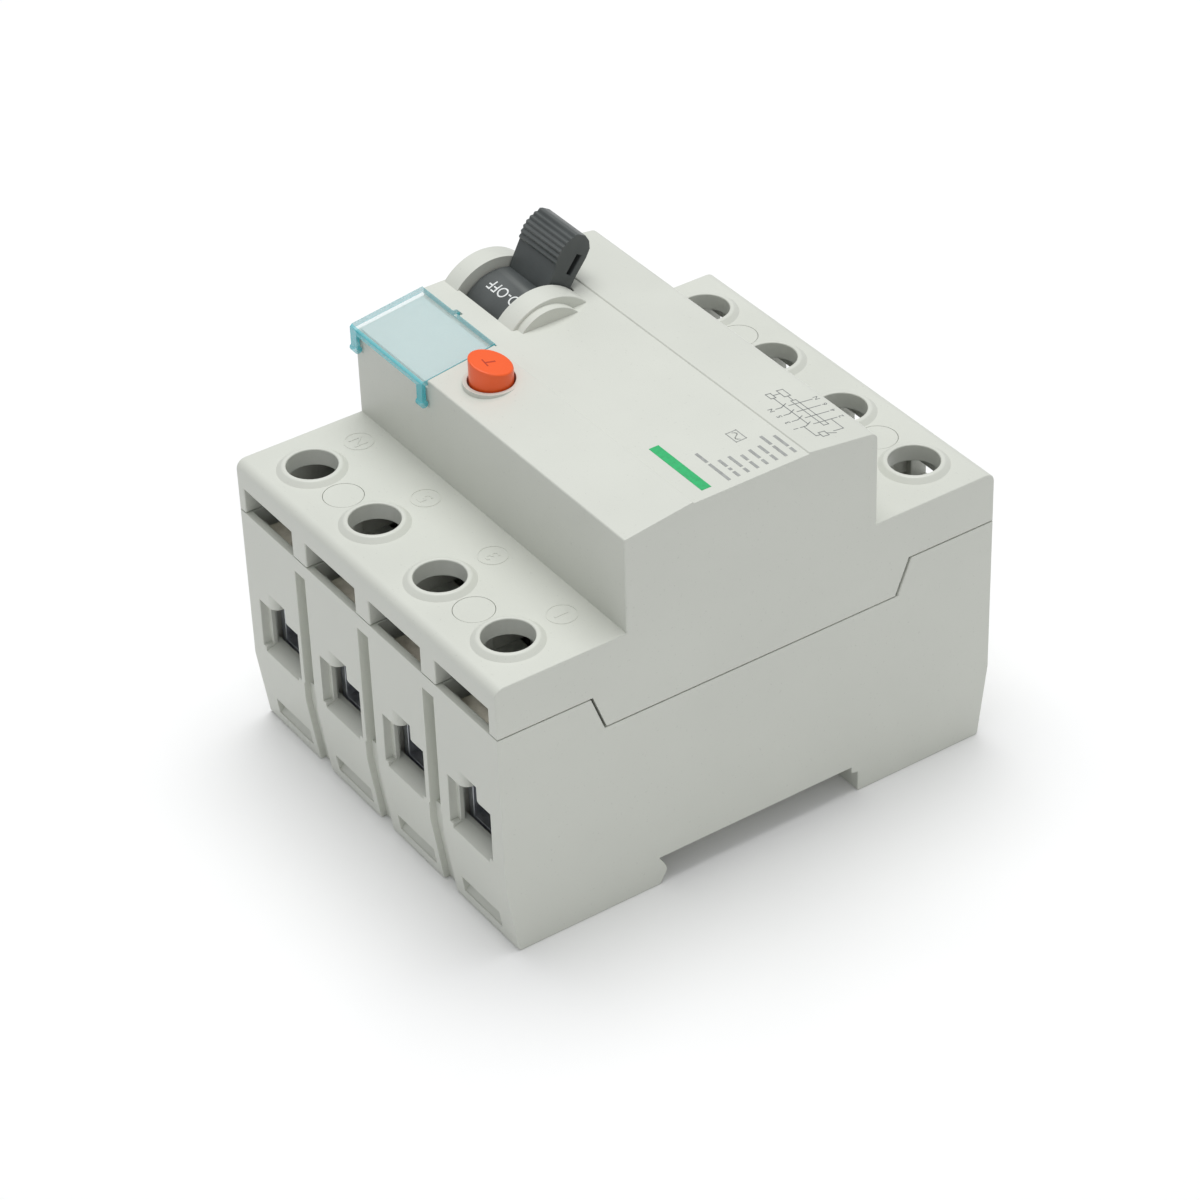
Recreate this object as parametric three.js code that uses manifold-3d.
// A four-pole residual current device for a 35 mm DIN rail.
// Frame, in millimetres: X runs across the poles, Y from the line terminals (-Y) to the load
// terminals (+Y), and Z up from the back of the base. The origin is the middle of the back.
// The toggle rests in its OFF position, leaning towards the load terminals.
import * as THREE from 'three';
import { mergeVertices } from 'three/addons/utils/BufferGeometryUtils.js';
import Module from 'manifold-3d';

const wasm = await Module();
wasm.setup();

// ---------------------------------------------------------------- driving dimensions

// Each pole's conductor goes through its own corner of the sensing core's bore. The two routed
// next to the core climb before they cross, or pass under it, to stay clear of each other.
const POLES = [
  { name: 'n', line: 'n', load: 'n', x: -27, boreCorner: [-1, 1] },
  { name: 'l3', line: '5', load: '6', x: -9, boreCorner: [-1, -1], climbsFirst: true },
  { name: 'l2', line: '3', load: '4', x: 9, boreCorner: [1, -1], underCore: true },
  { name: 'l1', line: '1', load: '2', x: 27, boreCorner: [1, 1] },
];
const POLE_BORDERS = [-18, 0, 18];
const ENDS = [-1, 1];               // line end, load end
const HALF_WIDTH = 36;
const HALF_LENGTH = 45;
const WALL = 1.8;
const END_WALL = 3.2;
const SHOULDER_Z = 49.3;            // top of the terminal shoulders
const FRONT_RISER_Y = -22.4;        // the raised middle starts here
const REAR_RISER_Y = 22.6;
const RISER_TOP_Z = 65.55;
const CREST_Z = 67.15;              // where the sloped strips meet the middle strip
const MIDDLE_Z = 66.9;              // the flat middle strip
const CREST_Y = 10.3;
const SEAM_Z = 40.3;                // top of the base at its ends
const MIDDLE_SEAM_Z = 34.2;         // top of the base between the notches
const SEAM_GAP = 0.2;
const FLOOR_Z = 7;                  // floor of the contact chamber
const CHAMBER_Y = 28.6;             // half length of the contact chamber
const TERMINAL_Y = 36.7;            // axis of each terminal screw
const TERMINAL_FLOOR_Z = 13.9;
const GAP = 0.3;                    // clearance between neighbouring pieces

const TOGGLE_AXIS = [0.9, 61];      // y, z
const DRUM_RADIUS = 7.35;
const DRUM_X = [-31.7, -21.6];
const TOGGLE_THROW = 66;            // degrees, OFF to ON
const TOGGLE_CRANK = 3;
const CARRIER_AXIS = [4, 30];       // y, z
const CARRIER_THROW = 13.6;         // degrees, OFF to ON
const CARRIER_CRANK = TOGGLE_CRANK * sinDegrees(TOGGLE_THROW / 2) / sinDegrees(CARRIER_THROW / 2);
const AXLE_RADIUS = 1;
const LINK_RADIUS = 0.75;
const LINK_X = -20.5;

const BUTTON = { x: -8.4, y: -15.4, radius: 3.4, hole: 3.7, ring: 4.4, topZ: 69.75 };
const WINDOW_X = [-HALF_WIDTH, -15.5];
const WINDOW_Y = [-22.4, -10];
const WINDOW_HINGE = [-22.95, 61.4]; // y, z
const CORE = { x: 14, z: 51, y: [10, 15], inner: 6.3, outer: 11.9 };
const WIRE_RADIUS = 1.4;
const PLUNGER = { x: 21, z: 53 };
const TRIP_BAR_AXIS = [-8.5, 47];   // y, z
const CLIP_X = 18;
const RIVET_X = 18;

function sinDegrees(angle) {
  return Math.sin(THREE.MathUtils.degToRad(angle));
}

// ---------------------------------------------------------------- solids

// A closed three.js geometry as a solid that can be joined and cut.
function solid(geometry) {
  const bare = geometry.clone();
  bare.deleteAttribute('normal');
  bare.deleteAttribute('uv');
  const merged = mergeVertices(bare);
  return new wasm.Manifold(new wasm.Mesh({
    numProp: 3,
    vertProperties: new Float32Array(merged.attributes.position.array),
    triVerts: new Uint32Array(merged.index.array),
  }));
}

function join(first, ...others) {
  return others.reduce((sum, other) => sum.add(other), first);
}

function cut(first, ...tools) {
  return tools.reduce((rest, tool) => rest.subtract(tool), first);
}

function toGeometry(body) {
  const mesh = body.getMesh();
  const geometry = new THREE.BufferGeometry();
  geometry.setAttribute('position', new THREE.Float32BufferAttribute(mesh.vertProperties, 3));
  geometry.setIndex([...mesh.triVerts]);
  geometry.computeVertexNormals();
  return geometry;
}

// A box between two limits on each axis, given in either order.
function block(xs, ys, zs) {
  const [x, y, z] = [xs, ys, zs].map(([a, b]) => ({ middle: (a + b) / 2, size: Math.abs(b - a) }));
  const geometry = new THREE.BoxGeometry(x.size, y.size, z.size);
  geometry.translate(x.middle, y.middle, z.middle);
  return solid(geometry);
}

function extrusion(points, depth) {
  const shape = new THREE.Shape(points.map(([a, b]) => new THREE.Vector2(a, b)));
  return new THREE.ExtrudeGeometry(shape, { depth, bevelEnabled: false });
}

// An outline of (y, z) points carried along X.
function prismX(points, [from, to]) {
  const geometry = extrusion(points, to - from);
  geometry.applyMatrix4(new THREE.Matrix4().makeBasis(
    new THREE.Vector3(0, 1, 0), new THREE.Vector3(0, 0, 1), new THREE.Vector3(1, 0, 0)));
  geometry.translate(from, 0, 0);
  return solid(geometry);
}

// An outline of (x, z) points carried along Y.
function prismY(points, ys) {
  const geometry = extrusion(points, Math.abs(ys[1] - ys[0]));
  geometry.rotateX(Math.PI / 2);
  geometry.translate(0, Math.max(...ys), 0);
  return solid(geometry);
}

// An outline of (x, y) points carried along Z.
function prismZ(points, [from, to]) {
  const geometry = extrusion(points, to - from);
  geometry.translate(0, 0, from);
  return solid(geometry);
}

function rodX(radius, [from, to], [y, z], sides = 16) {
  const geometry = new THREE.CylinderGeometry(radius, radius, to - from, sides);
  geometry.rotateZ(Math.PI / 2);
  geometry.translate((from + to) / 2, y, z);
  return solid(geometry);
}

function rodY(radius, ys, [x, z], sides = 16) {
  const geometry = new THREE.CylinderGeometry(radius, radius, Math.abs(ys[1] - ys[0]), sides);
  geometry.translate(x, (ys[0] + ys[1]) / 2, z);
  return solid(geometry);
}

function rodZ(radius, [from, to], [x, y], sides = 16, topRadius = radius) {
  const geometry = new THREE.CylinderGeometry(topRadius, radius, to - from, sides);
  geometry.rotateX(Math.PI / 2);
  geometry.translate(x, y, (from + to) / 2);
  return solid(geometry);
}

// Points on an arc in an outline, in degrees, both ends included.
function arc([a, b], radius, from, to, steps) {
  return Array.from({ length: steps + 1 }, (_, i) => {
    const angle = THREE.MathUtils.degToRad(from + (to - from) * i / steps);
    return [a + radius * Math.cos(angle), b + radius * Math.sin(angle)];
  });
}

// Round wire through a list of (x, y, z) corners, mitred at each bend.
function wire(corners, radius, sides = 6) {
  const points = corners.map((corner) => new THREE.Vector3(...corner));
  const legs = points.slice(1).map((point, i) => point.clone().sub(points[i]).normalize());
  const facing = new THREE.Quaternion().setFromUnitVectors(new THREE.Vector3(0, 0, 1), legs[0]);
  let ring = arc([0, 0], radius, 0, 360, sides).slice(1)
    .map(([a, b]) => new THREE.Vector3(a, b, 0).applyQuaternion(facing).add(points[0]));
  const vertices = [points[0], ...ring];
  for (let i = 1; i < points.length; i += 1) {
    const along = legs[i - 1];
    const mitre = along.clone().add(legs[i] ?? along).normalize();
    ring = ring.map((vertex) => {
      const reach = points[i].clone().sub(vertex).dot(mitre) / along.dot(mitre);
      return vertex.clone().addScaledVector(along, reach);
    });
    vertices.push(...ring);
  }
  vertices.push(points.at(-1));
  const faces = [];
  const last = vertices.length - 1;
  for (let side = 0; side < sides; side += 1) {
    const next = (side + 1) % sides;
    faces.push(0, 1 + next, 1 + side);
    for (let start = 1; start + sides < last; start += sides) {
      faces.push(start + side, start + next, start + sides + next);
      faces.push(start + side, start + sides + next, start + sides + side);
    }
    faces.push(last, last - sides + side, last - sides + next);
  }
  const geometry = new THREE.BufferGeometry().setFromPoints(vertices);
  geometry.setIndex(faces);
  geometry.computeVertexNormals();
  return solid(geometry);
}

// A coil spring about the +Z axis through the origin, standing on z = 0.
class Coil extends THREE.Curve {
  constructor(radius, height, turns) {
    super();
    Object.assign(this, { radius, height, turns });
  }

  getPoint(t, target = new THREE.Vector3()) {
    const angle = 2 * Math.PI * this.turns * t;
    return target.set(this.radius * Math.cos(angle), this.radius * Math.sin(angle), this.height * t);
  }
}

function coilSpring(radius, wireRadius, height, turns) {
  const section = new THREE.Shape().absarc(0, 0, wireRadius, 0, 2 * Math.PI);
  const geometry = new THREE.ExtrudeGeometry(section, {
    steps: Math.round(turns * 8),
    curveSegments: 2,
    extrudePath: new Coil(radius, height - 2 * wireRadius, turns),
  });
  geometry.translate(0, 0, wireRadius);
  return geometry;
}

// ---------------------------------------------------------------- scene

const device = new THREE.Group();

const MATERIALS = {
  housing: new THREE.MeshStandardMaterial({ color: 0xd9dcd6, roughness: 0.45, metalness: 0 }),
  insulator: new THREE.MeshStandardMaterial({ color: 0x4a5052, roughness: 0.5, metalness: 0 }),
  toggle: new THREE.MeshStandardMaterial({ color: 0x464a49, roughness: 0.4, metalness: 0 }),
  button: new THREE.MeshStandardMaterial({ color: 0xee5b27, roughness: 0.35, metalness: 0 }),
  window: new THREE.MeshStandardMaterial({ color: 0xa8dde2, roughness: 0.1, metalness: 0 }),
  card: new THREE.MeshStandardMaterial({ color: 0xe9eceb, roughness: 0.8, metalness: 0 }),
  steel: new THREE.MeshStandardMaterial({ color: 0xb4b6b4, roughness: 0.35, metalness: 1 }),
  copper: new THREE.MeshStandardMaterial({ color: 0xb87a4b, roughness: 0.35, metalness: 1 }),
  board: new THREE.MeshStandardMaterial({ color: 0x2f6b45, roughness: 0.5, metalness: 0 }),
};

// Adds one named piece to a group, made from a solid or from a closed geometry.
function add(name, shape, material, group = device) {
  const geometry = shape.isBufferGeometry ? shape : toGeometry(shape);
  const mesh = new THREE.Mesh(geometry, material.clone());
  mesh.name = name;
  group.add(mesh);
  return mesh;
}

// ---------------------------------------------------------------- base housing

const FOOT_Y = 43.3;                // the end faces lean out from here
const KINK_Z = 12.7;                // and are upright above here
const RAIL_SLOT_Z = 5.05;
const FRONT_NOTCH = [-28.9, -26.7]; // the seam steps down between these, at the line end
const REAR_NOTCH = [29.35, 26.8];   // and at the load end
const BUSBAR_PLATE_Z = [38.3, 39.5];
const ENTRY = { halfWidth: 5.7, innerHalfWidth: 4.9, bottom: 16.1, top: 24.8, crown: 27.7, wall: 2.2 };
const BUSBAR_SLOT_X = [-7.2, 6.8];  // beside each pole's centre
const BUSBAR_SILL = 1.3;            // thickness of the end wall below a busbar slot

function baseOutline() {
  return [
    [-FOOT_Y + 0.3, 0], [-17.7, 0],
    [-16.5, 2], [-16.4, 2.6], [-16.7, 3.5], [-17.65, RAIL_SLOT_Z],
    [18.4, RAIL_SLOT_Z], [18.4, 3.9], [19.6, 3.7], [19.6, 0], [FOOT_Y - 0.3, 0],
    [FOOT_Y, 0.3], [HALF_LENGTH, KINK_Z], [HALF_LENGTH, SEAM_Z],
    [REAR_NOTCH[0], SEAM_Z], [REAR_NOTCH[1], MIDDLE_SEAM_Z],
    [FRONT_NOTCH[1], MIDDLE_SEAM_Z], [FRONT_NOTCH[0], SEAM_Z],
    [-HALF_LENGTH, SEAM_Z], [-HALF_LENGTH, KINK_Z], [-FOOT_Y, 0.3],
  ];
}

// The narrow part above a cable entry, with sides that round inwards from the end face.
function entryNeck(x, end) {
  const halfWidth = 2.8;
  const rounding = 1.7;
  const outline = [
    [-halfWidth, -1], ...arc([-halfWidth, rounding], rounding, -90, 0, 5),
    [-halfWidth + rounding, END_WALL + 1], [halfWidth - rounding, END_WALL + 1],
    ...arc([halfWidth, rounding], rounding, 180, 270, 5), [halfWidth, -1],
  ];
  return prismZ(
    outline.map(([across, depth]) => [x + across, end * (HALF_LENGTH - depth)]),
    [ENTRY.top - 1, ENTRY.crown]);
}

// The stepped cable entry: a wide window with a narrow neck above it.
function cableEntry(x, end) {
  const { halfWidth, innerHalfWidth, bottom, top, wall } = ENTRY;
  const faceY = end * (HALF_LENGTH + 1);
  const recessY = end * (HALF_LENGTH - 1.4);
  const insideY = end * (HALF_LENGTH - END_WALL - 1);
  const sill = prismX(
    [[end * HALF_LENGTH, bottom - 0.8], [end * (HALF_LENGTH + 1), bottom - 1], [faceY, bottom + 1],
      [insideY, bottom + 1], [insideY, bottom], [end * (HALF_LENGTH - wall), bottom]],
    [x - innerHalfWidth, x + innerHalfWidth]);
  return join(
    block([x - halfWidth, x + halfWidth], [faceY, recessY], [bottom, top]),
    block([x - innerHalfWidth, x + innerHalfWidth], [faceY, insideY], [bottom, top]),
    entryNeck(x, end),
    sill);
}

// The groove between two poles in an end face, and the shallow channel below it.
function poleGroove(x, end) {
  const outside = end * (HALF_LENGTH + 1);
  return join(
    block([x - 2.2, x + 0.75], [outside, end * (HALF_LENGTH - 2)], [15.8, 37.5]),
    prismX(
      [[outside, -1], [outside, 15.9], [end * 43.9, 15.9], [end * 43.9, KINK_Z], [end * 42.1, -1]],
      [x - 2.5, x + 1.05]));
}

// The shallow slot low in each pole's end face, with a floor that falls outwards.
function lowerSlot(x, end) {
  return prismX(
    [[end * 46, 1.6], [end * 46, 5.1], [end * 41.9, 5.1], [end * 41.9, 4.3], [end * 43.3, 2.2]],
    [x - 5.2, x + 5]);
}

function terminalPocket(x, end) {
  return block([x - 7.2, x + 7.2], [end * (CHAMBER_Y + 1.2), end * (HALF_LENGTH - END_WALL)],
    [TERMINAL_FLOOR_Z, 60]);
}

// The end wall is thinner behind the sill of a busbar slot.
function sillRelief(x, end) {
  return block(BUSBAR_SLOT_X.map((side) => x + side),
    [end * (HALF_LENGTH - BUSBAR_SILL), end * (HALF_LENGTH - END_WALL - 1)], [BUSBAR_PLATE_Z[0] - 0.6, 60]);
}

// The end wall is thinner around a cable entry too.
function entryRelief(x, end) {
  const { halfWidth, bottom, crown, wall } = ENTRY;
  return block([x - halfWidth - 0.5, x + halfWidth + 0.5],
    [end * (HALF_LENGTH - wall), end * (HALF_LENGTH - END_WALL - 1)], [bottom, crown + 0.5]);
}

function strapSlot(x, end) {
  return block([x - 4.5, x + 4.5], [end * (CHAMBER_Y - 1), end * (CHAMBER_Y + 2)], [24.2, 60]);
}

// Hollows in the underside that keep the walls thin.
function lighteningPocket(xs, end) {
  return prismX(
    [[end * 40.5, -1], [end * 40.5, 11.5], [end * 31, 11.5], [end * 31, 3.6], [end * 22, 3.6],
      [end * 22, -1]], xs);
}

// A T-shaped channel for a rail clip, open downwards and to the load end.
function clipChannel(x) {
  return join(
    block([x - 5.4, x + 5.4], [15, 46], [-1, 1.7]),
    block([x - 6.6, x + 6.6], [15, 46], [1.6, 3.9]));
}

function baseHousing() {
  const shell = cut(
    prismX(baseOutline(), [-HALF_WIDTH, HALF_WIDTH]),
    block([-HALF_WIDTH + WALL, HALF_WIDTH - WALL], [-CHAMBER_Y, CHAMBER_Y], [FLOOR_Z, 60]),
    ...ENDS.flatMap((end) => POLES.flatMap(({ x }) => [
      terminalPocket(x, end), sillRelief(x, end), entryRelief(x, end), strapSlot(x, end),
      cableEntry(x, end), lowerSlot(x, end)])),
    ...ENDS.flatMap((end) => POLE_BORDERS.map((x) => poleGroove(x, end))),
    ...POLES.map(({ x }) => lighteningPocket([x - 6, x + 6], -1)),
    ...[[-33.6, -27], [-8, 8], [27, 33.6]].map((xs) => lighteningPocket(xs, 1)),
    ...ENDS.map((side) => clipChannel(side * CLIP_X)));
  const additions = [
    ...POLE_BORDERS.map((x) => block([x - 0.8, x + 0.8], [-CHAMBER_Y - 0.1, -3], [FLOOR_Z - 0.1, 33.5])),
    ...[0, CLIP_X].map((x) => block([x - 0.8, x + 0.8], [-27, -24], [33, 39.7])),
    ...rivetPlaces().map(([x, y]) => rodZ(2.6, [TERMINAL_FLOOR_Z - 0.1, SEAM_Z], [x, y], 8)),
  ];
  const [axisY, axisZ] = CARRIER_AXIS;
  const trunnionSlots = ENDS.flatMap((side) => {
    const xs = [side * (HALF_WIDTH - WALL - 1), side * (HALF_WIDTH - 0.6)];
    return [
      rodX(2.3, xs.sort((a, b) => a - b), CARRIER_AXIS),
      block(xs, [axisY - 2.3, axisY + 2.3], [axisZ, 60]),
    ];
  });
  return cut(
    join(shell, ...additions),
    ...trunnionSlots,
    ...rivetPlaces().map((place) => rodZ(1.6, [27.5, 60], place, 8)));
}

function rivetPlaces() {
  return ENDS.flatMap((end) => ENDS.map((side) => [side * RIVET_X, end * TERMINAL_Y]));
}

add('base_housing', baseHousing(), MATERIALS.housing);

// ---------------------------------------------------------------- front cover

const RING = { radius: 5.55, topRadius: 4.65, height: 0.8, bore: 4, depth: 3 };
const ROUND = 36;                   // sides of the larger circles
const TOP_SLOPE = (CREST_Z - RISER_TOP_Z) / (-CREST_Y - FRONT_RISER_Y);

// Height of the sloped front strip of the top at a given y.
function frontSlopeZ(y) {
  return CREST_Z - (-CREST_Y - y) * TOP_SLOPE;
}

function coverOutline() {
  const edge = 1.6;                 // rounding of the shoulders' end edges
  const bottom = SEAM_Z + SEAM_GAP;
  const middle = MIDDLE_SEAM_Z + SEAM_GAP;
  return [
    [-HALF_LENGTH, bottom],
    ...arc([-HALF_LENGTH + edge, SHOULDER_Z - edge], edge, 180, 90, 5),
    [FRONT_RISER_Y, SHOULDER_Z], [FRONT_RISER_Y + 0.1, RISER_TOP_Z],
    [-CREST_Y, CREST_Z], [-CREST_Y + 0.15, MIDDLE_Z],
    [CREST_Y - 0.15, MIDDLE_Z], [CREST_Y, CREST_Z],
    ...arc([REAR_RISER_Y - 1.3, RISER_TOP_Z - 1.15], 1.3, 80, 0, 4),
    [REAR_RISER_Y, SHOULDER_Z],
    ...arc([HALF_LENGTH - edge, SHOULDER_Z - edge], edge, 90, 0, 5),
    [HALF_LENGTH, bottom],
    [REAR_NOTCH[0] - 0.35, bottom], [REAR_NOTCH[1] - 0.35, middle],
    [FRONT_NOTCH[1] + 0.35, middle], [FRONT_NOTCH[0] + 0.35, bottom],
  ];
}

function coverInside() {
  const endY = HALF_LENGTH - END_WALL;
  const ceiling = SHOULDER_Z - 2;
  return prismX([
    [-endY, 20], [-endY, ceiling], [FRONT_RISER_Y + WALL, ceiling],
    [FRONT_RISER_Y + WALL, 62.2], [-CREST_Y, 63.8], [-8.5, 65.1], [CREST_Y, 65.1],
    [REAR_RISER_Y - WALL, 63.6], [REAR_RISER_Y - WALL, ceiling], [endY, ceiling], [endY, 20],
  ], [-HALF_WIDTH + WALL, HALF_WIDTH - WALL]);
}

// One of the arched cheeks beside the toggle.
function cheek(xs, centre, radius) {
  const foot = MIDDLE_Z - 0.9;
  const angle = THREE.MathUtils.radToDeg(Math.asin((foot - centre[1]) / radius));
  return prismX(arc(centre, radius, angle, 180 - angle, 22), xs);
}

function bearingLug(xs) {
  const [y, z] = TOGGLE_AXIS;
  return block(xs, [y - 4, y + 4], [z - 4, 65.5]);
}

function buttonGuide() {
  const { x, y } = BUTTON;
  return join(
    block([x - 6, x + 6], [y - 4.1, y + 4.2], [53, 54.4]),
    block([x - 6, x - 4.8], [y - 4.1, y + 4.2], [53, 64]),
    block([x + 4.8, x + 6], [y - 4.1, y + 4.2], [53, 64]));
}

function tripBarHanger(x) {
  const [y, z] = TRIP_BAR_AXIS;
  return block([x, x + 1.5], [y - 2.6, y + 2.6], [z - 2.6, 65]);
}

function coreSaddle() {
  return block([CORE.x - 8, CORE.x + 8], CORE.y, [CORE.z + 9, 65]);
}

function windowPocket() {
  const [front, back] = [FRONT_RISER_Y - 1, WINDOW_Y[1] + 0.15];
  const depth = 1.5;
  const outline = [
    [front, frontSlopeZ(front) - depth], [back, frontSlopeZ(back) - depth], [back, 70], [front, 70]];
  const [left, right] = WINDOW_X;
  return join(
    prismX(outline, [left - 1, right + 0.15]),
    block([-27.5, -25.9], [back - 1, back + 0.75], [66.2, 70]),
    rodX(0.95, [left - 1, left + 2], WINDOW_HINGE, 12),
    rodX(0.95, [right - 2, right + GAP], WINDOW_HINGE, 12));
}

// The raised collar round a screw hole, coned above the shoulder and straight below it.
function screwRing(place) {
  const { radius, topRadius, height, depth } = RING;
  return join(
    rodZ(radius, [SHOULDER_Z + height - depth, SHOULDER_Z], place, ROUND),
    rodZ(radius, [SHOULDER_Z, SHOULDER_Z + height], place, ROUND, topRadius));
}

function frontCover() {
  const [axisY, axisZ] = TOGGLE_AXIS;
  const shell = cut(
    prismX(coverOutline(), [-HALF_WIDTH, HALF_WIDTH]),
    coverInside());
  const terminals = ENDS.flatMap((end) => POLES.map(({ x }) => [x, end * TERMINAL_Y]));
  const additions = [
    ...terminals.map(screwRing),
    ...ENDS.flatMap((end) => POLE_BORDERS.map((x) => block(
      [x - 0.8, x + 0.8], [end * (CHAMBER_Y - 2), end * (HALF_LENGTH - END_WALL + 0.1)],
      [SEAM_Z + 0.9, SHOULDER_Z - 1.5]))),
    ...rivetPlaces().map((place) => rodZ(2.6, [SEAM_Z + GAP, SHOULDER_Z - 1], place, 8)),
    cheek([-35.7, -32], [0.6, 61.2], 8.9),
    cheek([-21.2, -17.2], [1.0, 60.8], 9.2),
    cheek([-17.3, -15.7], [0.1, 62.4], 6.8),
    bearingLug([-34.3, -32]),
    bearingLug([-19.4, -17.6]),
    rodZ(BUTTON.ring, [MIDDLE_Z - 2.5, frontSlopeZ(BUTTON.y) + 0.2], [BUTTON.x, BUTTON.y], ROUND),
    buttonGuide(),
    tripBarHanger(-1.5),
    tripBarHanger(28.2),
    coreSaddle(),
    block([PLUNGER.x - 4, PLUNGER.x + 4], [-19, -13], [58.4, 63.5]),
  ];
  const busbarSlots = ENDS.flatMap((end) => POLES.map(({ x }) => block(
    BUSBAR_SLOT_X.map((side) => x + side),
    [end * (HALF_LENGTH - END_WALL - 0.5), end * (HALF_LENGTH + 1)], [SEAM_Z - 1, 44.8])));
  const removals = [
    ...busbarSlots,
    ...terminals.map((place) => rodZ(RING.bore, [40, 55], place, ROUND)),
    ...rivetPlaces().map((place) => rodZ(1.6, [40, 55], place, 8)),
    ...rivetPlaces().map((place) => rodZ(3.2, [SHOULDER_Z - 1.2, 55], place, ROUND)),
    rodX(DRUM_RADIUS + 0.4, [-32, -21.2], TOGGLE_AXIS, 48),
    block([-32, -21.2], [-5.8, 8.2], [axisZ, 75]),
    rodX(AXLE_RADIUS + GAP, [-34.1, -16], [axisY, axisZ], 12),
    rodZ(BUTTON.hole, [60, 75], [BUTTON.x, BUTTON.y], ROUND),
    rodZ(2.1, [50, 60], [BUTTON.x, BUTTON.y], 12),
    rodX(2.1, [-2.5, 31], TRIP_BAR_AXIS, 12),
    rodY(CORE.outer + 0.9, [CORE.y[0] - 1, CORE.y[1] + 1], [CORE.x, CORE.z], 32),
    windowPocket(),
  ];
  return cut(join(shell, ...additions), ...removals);
}

add('front_cover', frontCover(), MATERIALS.housing);

// ---------------------------------------------------------------- label window and card

function labelWindow() {
  const [left, right] = WINDOW_X;
  const flangeY = [FRONT_RISER_Y - 0.9, FRONT_RISER_Y - 0.2];
  const proud = 0.1;
  const thickness = 1.0;
  const plate = prismX([
    [WINDOW_Y[1], frontSlopeZ(WINDOW_Y[1]) + proud],
    [WINDOW_Y[1], frontSlopeZ(WINDOW_Y[1]) - thickness],
    [flangeY[1], frontSlopeZ(flangeY[1]) - thickness],
    [flangeY[1], 64.2], [flangeY[0], 64.2], [flangeY[0], 65.1], [flangeY[0] + 0.4, 65.5],
  ], [left, right]);
  const legs = [[left, left + 1.7], [right - 1.7, right]].flatMap((xs) => [
    block(xs, flangeY, [WINDOW_HINGE[1], 64.4]),
    rodX(0.65, xs, WINDOW_HINGE, 12),
  ]);
  const tab = block([-27.2, -26.2], [WINDOW_Y[1] - 0.2, WINDOW_Y[1] + 0.6], [66.4, frontSlopeZ(-10) + proud]);
  return join(plate, ...legs, tab);
}

function labelCard() {
  const [front, back] = [WINDOW_Y[0] + 0.6, WINDOW_Y[1] - 0.5];
  return prismX(
    [[front, frontSlopeZ(front) - 1.4], [back, frontSlopeZ(back) - 1.4],
      [back, frontSlopeZ(back) - 1.1], [front, frontSlopeZ(front) - 1.1]],
    [WINDOW_X[0] + 0.8, WINDOW_X[1] - 0.6]);
}

add('label_window', labelWindow(), MATERIALS.window);
add('label_card', labelCard(), MATERIALS.card);

// ---------------------------------------------------------------- drive geometry

// The link is square to both cranks half way through the throw, so both turn evenly with it.
const LINK_TILT = Math.asin((TOGGLE_CRANK + CARRIER_CRANK)
    / Math.hypot(TOGGLE_AXIS[0] - CARRIER_AXIS[0], TOGGLE_AXIS[1] - CARRIER_AXIS[1]))
  - Math.atan2(CARRIER_AXIS[0] - TOGGLE_AXIS[0], TOGGLE_AXIS[1] - CARRIER_AXIS[1]);

// A crank pin's (y, z) place: its axis, its crank, and the turn from half throw in degrees.
function crankPin([y, z], crank, turn) {
  const arm = new THREE.Vector2(crank * Math.cos(LINK_TILT), -crank * Math.sin(LINK_TILT))
    .rotateAround(new THREE.Vector2(), THREE.MathUtils.degToRad(turn));
  return [y + arm.x, z + arm.y];
}

const TOGGLE_PIN = crankPin(TOGGLE_AXIS, TOGGLE_CRANK, -TOGGLE_THROW / 2);
const CARRIER_PIN = crankPin(CARRIER_AXIS, -CARRIER_CRANK, CARRIER_THROW / 2);
const CARRIER_PIN_WHEN_ON = crankPin(CARRIER_AXIS, -CARRIER_CRANK, -CARRIER_THROW / 2);

// ---------------------------------------------------------------- toggle

// Ribbed thumb face: a curve with evenly spaced ridges standing out of it.
function ribbedFace() {
  const ribs = 7;
  const height = 0.28;
  const curve = new THREE.QuadraticBezierCurve(
    new THREE.Vector2(5.35, 72.2), new THREE.Vector2(6.2, 75.5), new THREE.Vector2(9.8, 76.1));
  const count = ribs * 4;
  return Array.from({ length: count + 1 }, (_, i) => {
    const t = i / count;
    const point = curve.getPoint(t);
    const tangent = curve.getTangent(t);
    const lift = height * (0.5 - 0.5 * Math.cos(2 * Math.PI * ribs * t));
    return [point.x - tangent.y * lift, point.y + tangent.x * lift];
  });
}

function toggleHandle() {
  const [axisY, axisZ] = TOGGLE_AXIS;
  const grip = prismX([
    [1, 62], [3.5, 68.6], [4.5, 70.6], ...ribbedFace(),
    [11, 75.4], [11.6, 74.3], [11.65, 72.9], [10.9, 71.5], [8.8, 68.8], [7.3, 66.4], [6, 62],
  ], DRUM_X);
  const padlockSlot = prismX(
    [[7.2, 70], [7.9, 69.5], [10, 72.2], [9.3, 72.7]], [DRUM_X[0] - 1, DRUM_X[1] + 1]);
  return cut(
    join(rodX(DRUM_RADIUS, DRUM_X, TOGGLE_AXIS, 48), grip),
    padlockSlot,
    rodX(AXLE_RADIUS + GAP, [DRUM_X[0] - 1, DRUM_X[1] + 1], [axisY, axisZ], 12),
    rodX(3.9, [DRUM_X[0] - 1, -27.6], [axisY, axisZ]),
    rodX(LINK_RADIUS + GAP, [-25, DRUM_X[1] + 1], TOGGLE_PIN, 10));
}

add('toggle_handle', toggleHandle(), MATERIALS.toggle);
add('toggle_axle', rodX(AXLE_RADIUS, [-33.8, -17.8], TOGGLE_AXIS, 12), MATERIALS.steel);

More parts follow.
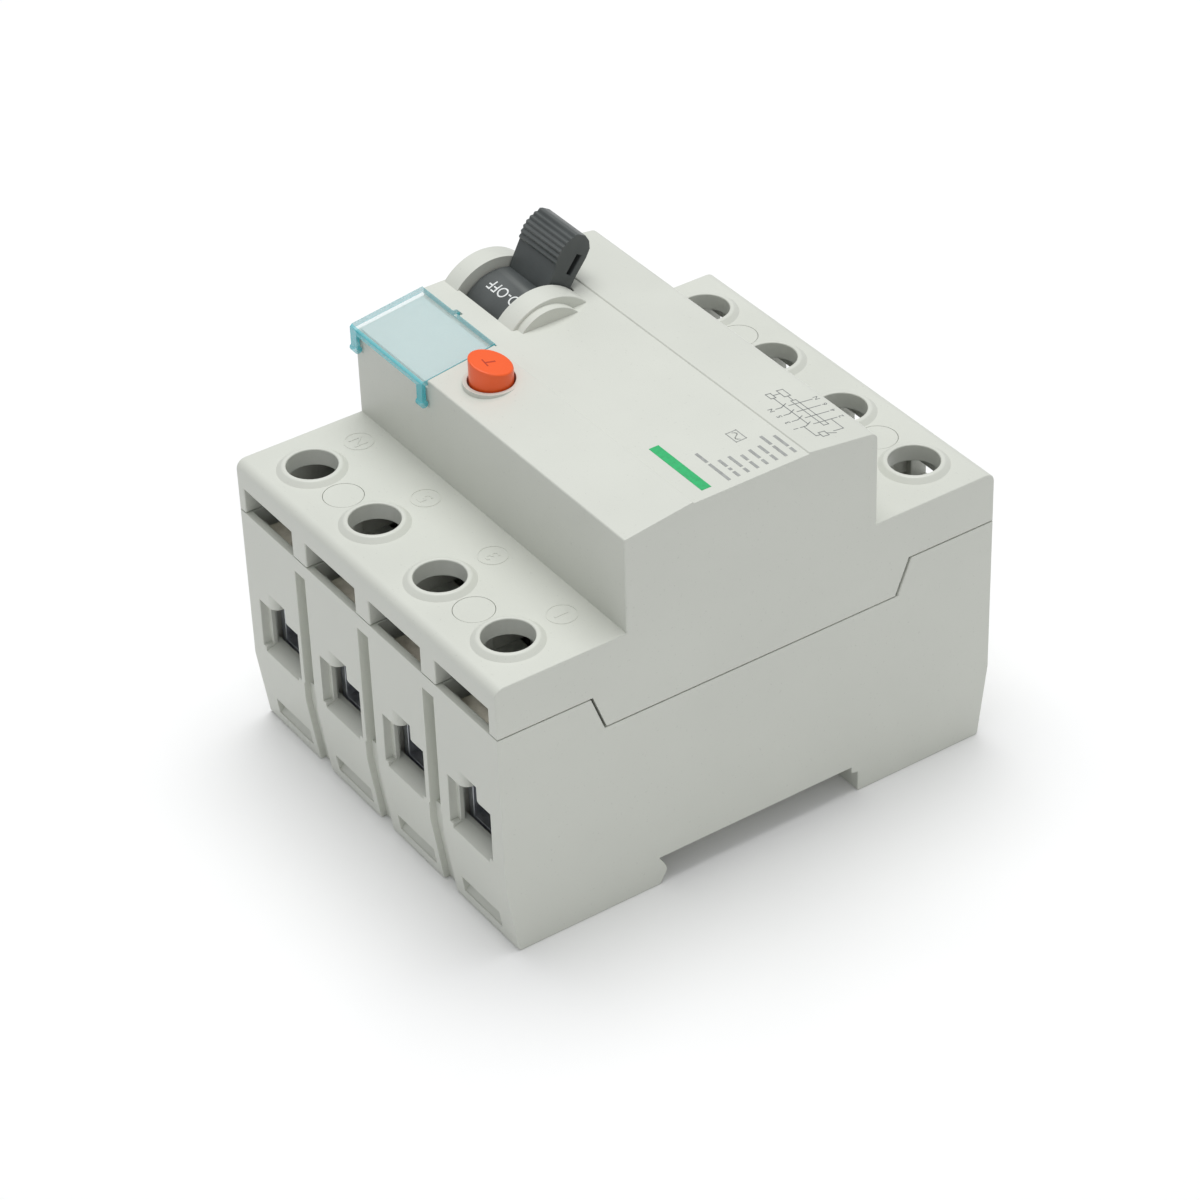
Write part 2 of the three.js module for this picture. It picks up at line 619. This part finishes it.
const toggleSpring = add('toggle_spring', coilSpring(2.6, 0.4, 3.2, 3), MATERIALS.steel);
toggleSpring.rotation.y = Math.PI / 2;
toggleSpring.position.set(-31.3, ...TOGGLE_AXIS);

const LINK_INNER_X = -24.6;
add('drive_link', wire([
  [LINK_INNER_X, ...TOGGLE_PIN], [LINK_X, ...TOGGLE_PIN],
  [LINK_X, ...CARRIER_PIN], [LINK_INNER_X, ...CARRIER_PIN],
], LINK_RADIUS, 8), MATERIALS.steel);

// ---------------------------------------------------------------- contact carrier and contacts

// The carrier and its arms are drawn in the ON position and turned back to OFF about the axis.
const carrier = new THREE.Group();
carrier.position.set(0, ...CARRIER_AXIS);
carrier.rotation.x = THREE.MathUtils.degToRad(CARRIER_THROW);
device.add(carrier);

function toCarrier(shape) {
  const geometry = shape.isBufferGeometry ? shape : toGeometry(shape);
  geometry.translate(0, -CARRIER_AXIS[0], -CARRIER_AXIS[1]);
  return geometry;
}

const ARM_Z = [20.3, 22.3];
const CONTACT_Y = [-22, -17.5];
const CONTACT_SPRING_Y = 1;

function contactHolder(x) {
  return join(
    block([x - 4.2, x + 4.2], [-2, 9], [18.5, 29]),
    block([x - 3.2, x + 3.2], [-2, 4.5], [12, 18.6]));
}

function contactSlot(x) {
  return join(
    block([x - 2.3, x + 2.3], [-3, 10], [ARM_Z[0] - GAP, ARM_Z[1] + 1.6]),
    rodZ(2.5, [13.2, ARM_Z[0]], [x, CONTACT_SPRING_Y], 8));
}

function carrierCrank() {
  const [y, z] = CARRIER_AXIS;
  const [pinY, pinZ] = CARRIER_PIN_WHEN_ON;
  const along = new THREE.Vector2(pinY - y, pinZ - z);
  const side = new THREE.Vector2(-along.y, along.x).setLength(2.6);
  const xs = [-25.4, -21.7];
  return cut(
    join(
      prismX([[y - side.x, z - side.y], [y + side.x, z + side.y],
        [pinY + side.x, pinZ + side.y], [pinY - side.x, pinZ - side.y]], xs),
      rodX(3.1, xs, CARRIER_PIN_WHEN_ON)),
    rodX(LINK_RADIUS + 0.95, [-26, -21], CARRIER_PIN_WHEN_ON, 12));
}

function contactCarrier() {
  return cut(
    join(
      rodX(4.5, [-33.6, 33.6], CARRIER_AXIS),
      rodX(2, [-35, 35], CARRIER_AXIS, 12),
      ...POLES.map(({ x }) => contactHolder(x)),
      carrierCrank()),
    ...POLES.map(({ x }) => contactSlot(x)));
}

function movingContact(x) {
  return join(
    block([x - 2, x + 2], [CONTACT_Y[0], 14.5], ARM_Z),
    block([x - 2.3, x + 2.3], CONTACT_Y, [ARM_Z[1] - 0.1, ARM_Z[1] + 1.2]));
}

function contactSpring(x) {
  const geometry = coilSpring(1.7, 0.3, ARM_Z[0] - 13.2 - 2 * 0.15, 3);
  geometry.translate(x, CONTACT_SPRING_Y, 13.35);
  return geometry;
}

add('contact_carrier', toCarrier(contactCarrier()), MATERIALS.insulator, carrier);
for (const { name, x } of POLES) {
  add(`moving_contact_${name}`, toCarrier(movingContact(x)), MATERIALS.copper, carrier);
  add(`contact_spring_${name}`, toCarrier(contactSpring(x)), MATERIALS.steel, carrier);
}

// ---------------------------------------------------------------- terminals

const TONGUE_Z = [25, 27];
const CAGE_FLOOR_Z = 16.1;
const SHANK_RADIUS = 2.8;

// The strap inside a terminal: the tongue under the screw and the busbar plate above the cage.
function terminalStrap(x, end) {
  const frontY = end * (HALF_LENGTH - BUSBAR_SILL - GAP);
  const backY = [end * (CHAMBER_Y + 1.4), end * (CHAMBER_Y + 2.6)];
  return join(
    block([x - 4.2, x + 4.2], [end * 41, backY[0]], TONGUE_Z),
    block([x - 5, x + 5], backY, [TONGUE_Z[0], BUSBAR_PLATE_Z[1]]),
    cut(
      block([x - 5, x + 5.6], [frontY, backY[0]], BUSBAR_PLATE_Z),
      block([x - 6, x - 3.4], [end * 40.6, end * HALF_LENGTH], [36, 42]),
      rodZ(SHANK_RADIUS + 0.4, [36, 42], [x, end * TERMINAL_Y], 12)));
}

function lineStrap(x) {
  return join(
    terminalStrap(x, -1),
    block([x - 3.5, x + 3.5], [-31, -17], TONGUE_Z),
    block([x - 2.3, x + 2.3], CONTACT_Y, [TONGUE_Z[0] - 1.2, TONGUE_Z[0] + 0.1]));
}

function terminalCage(x, end) {
  const ys = [end * 32, end * 41.4];
  const serrations = [-2, 0, 2].map((offset) => {
    const y = end * TERMINAL_Y + offset;
    return prismX([[y - 0.6, CAGE_FLOOR_Z + 0.01], [y, CAGE_FLOOR_Z - 0.6], [y + 0.6, CAGE_FLOOR_Z + 0.01]],
      [x - 4.6, x + 4.6]);
  });
  return cut(
    block([x - 6, x + 6], ys, [14.3, 30.4]),
    block([x - 4.6, x + 4.6], [end * 31, end * 43], [CAGE_FLOOR_Z, TONGUE_Z[1] + 0.6]),
    rodZ(SHANK_RADIUS + GAP, [26, 32], [x, end * TERMINAL_Y], 12),
    ...serrations);
}

function terminalScrew(x, end) {
  const place = [x, end * TERMINAL_Y];
  const head = [39.9, 43.6];
  const slotDepth = 1.6;
  return cut(
    join(
      rodZ(3.6, head, place),
      rodZ(SHANK_RADIUS, [TONGUE_Z[1] + GAP, head[0] + 0.1], place, 12)),
    block([x - 3, x + 3], [place[1] - 0.5, place[1] + 0.5], [head[1] - slotDepth, 45]),
    block([x - 0.5, x + 0.5], [place[1] - 3, place[1] + 3], [head[1] - slotDepth, 45]));
}

for (const { name, line, load, x } of POLES) {
  add(`line_strap_${name}`, lineStrap(x), MATERIALS.copper);
  add(`line_cage_${line}`, terminalCage(x, -1), MATERIALS.steel);
  add(`load_cage_${load}`, terminalCage(x, 1), MATERIALS.steel);
  add(`line_screw_${line}`, terminalScrew(x, -1), MATERIALS.steel);
  add(`load_screw_${load}`, terminalScrew(x, 1), MATERIALS.steel);
}

// ---------------------------------------------------------------- load conductors and sensing core

// Each conductor rises from the heel of its contact arm, passes through the core towards the
// load end beside the others, and comes down to its load strap.
const LUG_OFFSET = 3.6;             // a lug stands beside its arm, in X
const LUG_Y = [12.2, 15.6];
const RISE_Y = 13.9;
const OUTER_LAYER_Y = 2.6;          // wires of the upper pair cross in front of the lower pair
const INNER_LAYER_Y = 6.2;
const DESCENT_Y = 18.4;
const RUN_Z = 38;
const LOW_RUN_Z = 36.3;             // the run that passes under the core
const LOW_DESCENT_Z = 34;
const WIRE_SPREAD = 2.3;            // each wire's distance from the core's axis, in X and Z
const STRAP_WIRE_Z = 26;

function conductorRoute({ x, boreCorner, climbsFirst, underCore }) {
  const lugX = x + LUG_OFFSET;
  const boreX = CORE.x + boreCorner[0] * WIRE_SPREAD;
  const boreZ = CORE.z + boreCorner[1] * WIRE_SPREAD;
  const layerY = boreCorner[1] > 0 ? OUTER_LAYER_Y : INNER_LAYER_Y;
  const runZ = underCore ? LOW_RUN_Z : RUN_Z;
  const turn = climbsFirst ? [lugX, layerY, boreZ] : [boreX, layerY, runZ];
  const descent = underCore
    ? [[boreX, DESCENT_Y, LOW_DESCENT_Z], [x, DESCENT_Y, LOW_DESCENT_Z]]
    : [[x, DESCENT_Y, boreZ]];
  return [
    [lugX, RISE_Y, STRAP_WIRE_Z], [lugX, RISE_Y, runZ], [lugX, layerY, runZ], turn,
    [boreX, layerY, boreZ], [boreX, DESCENT_Y, boreZ], ...descent,
    [x, DESCENT_Y, STRAP_WIRE_Z], [x, CHAMBER_Y + 2, STRAP_WIRE_Z],
  ];
}

function loadConductor(pole) {
  const { x } = pole;
  return join(
    block([x + 2.4, x + 4.6], LUG_Y, [17, STRAP_WIRE_Z + 1]),
    wire(conductorRoute(pole), WIRE_RADIUS),
    terminalStrap(x, 1));
}

// Points of a ring sector, for the winding.
function ringSector(inner, outer, from, to) {
  const centre = [CORE.x, CORE.z];
  return [...arc(centre, outer, from, to, 16), ...arc(centre, inner, to, from, 16)];
}

function sensingCore() {
  return cut(
    rodY(CORE.outer, CORE.y, [CORE.x, CORE.z], 24),
    rodY(CORE.inner, [CORE.y[0] - 1, CORE.y[1] + 1], [CORE.x, CORE.z], 24));
}

function sensingWinding() {
  const [front, back] = CORE.y;
  return cut(
    prismY(ringSector(CORE.inner - 0.6, CORE.outer + 0.6, -200, 20), [front - 0.7, back + 0.7]),
    prismY(ringSector(CORE.inner - 0.25, CORE.outer + 0.25, -210, 30), [front - 0.3, back + 0.3]));
}

for (const pole of POLES) {
  add(`load_conductor_${pole.name}`, loadConductor(pole), MATERIALS.copper);
}
add('sensing_core', sensingCore(), MATERIALS.insulator);
add('sensing_winding', sensingWinding(), MATERIALS.copper);

// ---------------------------------------------------------------- trip relay and trip bar

const RELAY_Y = [-20.2, -11.5];
const PLUNGER_RADIUS = 0.9;

function tripRelay() {
  const { x, z } = PLUNGER;
  return cut(
    join(
      block([x - 7, x + 7], RELAY_Y, [44, 58]),
      rodY(2.2, [RELAY_Y[1] - 0.1, RELAY_Y[1] + 0.6], [x, z], 16)),
    rodY(PLUNGER_RADIUS + GAP, [-17.5, -10], [x, z], 12));
}

function tripBar() {
  const [y, z] = TRIP_BAR_AXIS;
  const { x } = PLUNGER;
  return join(
    rodX(1.8, [-18.8, 30], TRIP_BAR_AXIS, 12),
    block([x - 3, x + 3], [y - 0.9, y + 0.7], [z, z + 8]),
    block([-18.8, -17.4], [y - 1, y + 5.5], [z - 1.4, z + 1.4]));
}

add('trip_relay', tripRelay(), MATERIALS.insulator);
add('relay_plunger', rodY(PLUNGER_RADIUS, [-17, TRIP_BAR_AXIS[0] - 0.9 - GAP], [PLUNGER.x, PLUNGER.z], 12),
  MATERIALS.steel);
add('trip_bar', tripBar(), MATERIALS.insulator);

// ---------------------------------------------------------------- test circuit

const BUTTON_FLANGE_Z = [60.6, 61.8];
const SPRING_SEAT_Z = 54.4;

// The button's top is cut aslant: it falls towards the load end and a little towards +X.
function testButton() {
  const { x, y, radius, topZ } = BUTTON;
  const topNormal = new THREE.Vector3(0.165, 0.25, 1).normalize();
  const cutter = new THREE.BoxGeometry(12, 12, 6);
  cutter.translate(0, 0, 3);
  cutter.applyQuaternion(new THREE.Quaternion().setFromUnitVectors(new THREE.Vector3(0, 0, 1), topNormal));
  cutter.translate(x, y, topZ);
  const aboveTop = solid(cutter);
  return cut(
    join(
      rodZ(radius, [BUTTON_FLANGE_Z[1] - 0.1, 72], [x, y], ROUND),
      rodZ(radius + 0.6, BUTTON_FLANGE_Z, [x, y], 16),
      rodZ(1.8, [50.5, BUTTON_FLANGE_Z[0] + 0.1], [x, y], 12)),
    aboveTop);
}

const buttonSpring = coilSpring(2.9, 0.35, BUTTON_FLANGE_Z[0] - SPRING_SEAT_Z - 0.4, 3);
buttonSpring.translate(BUTTON.x, BUTTON.y, SPRING_SEAT_Z + 0.2);

function testContact() {
  const { x, y } = BUTTON;
  return join(
    block([x - 1, x + 1], [-20.2, y + 3.4], [47.2, 47.7]),
    block([x - 1, x + 1], [-20.2, -19.7], [41.9, 47.7]));
}

function circuitBoard() {
  return join(
    block([-12, 33], [-26, -8], [40, 41.6]),
    block([4, 10], [-12.5, -9.5], [41.5, 43.4]),
    block([24, 30], [-25, -21.5], [41.5, 44.4]));
}

function testResistor() {
  return join(
    rodX(1.6, [-2, 8], [-17.5, 43.6], 10),
    rodX(0.4, [-5, 11], [-17.5, 43.6], 6));
}

add('test_button', testButton(), MATERIALS.button);
add('test_button_spring', buttonSpring, MATERIALS.steel);
add('test_contact', testContact(), MATERIALS.copper);
add('test_resistor', testResistor(), MATERIALS.card);
add('circuit_board', circuitBoard(), MATERIALS.board);

// ---------------------------------------------------------------- rail clips and case rivets

function railClip(x) {
  const nose = prismX([[16.2, 1.4], [17, 0.6], [20, 0.6], [20, 3.3], [16.8, 3.3], [16.2, 2.9]],
    [x - 5.1, x + 5.1]);
  return cut(
    join(
      block([x - 5.1, x + 5.1], [18, 44], [0.3, 2]),
      block([x - 6.3, x + 6.3], [20, 42.4], [1.9, 3.6]),
      nose),
    block([x - 2.5, x + 2.5], [41.4, 42.9], [-1, 5]));
}

add('rail_clip_left', railClip(-CLIP_X), MATERIALS.insulator);
add('rail_clip_right', railClip(CLIP_X), MATERIALS.insulator);

rivetPlaces().forEach((place, index) => {
  add(`case_rivet_${index + 1}`, join(
    rodZ(1.3, [28, SHOULDER_Z - 0.9], place, 8),
    rodZ(3, [SHOULDER_Z - 1, SHOULDER_Z - 0.02], place, ROUND)), MATERIALS.housing);
});

export default device;
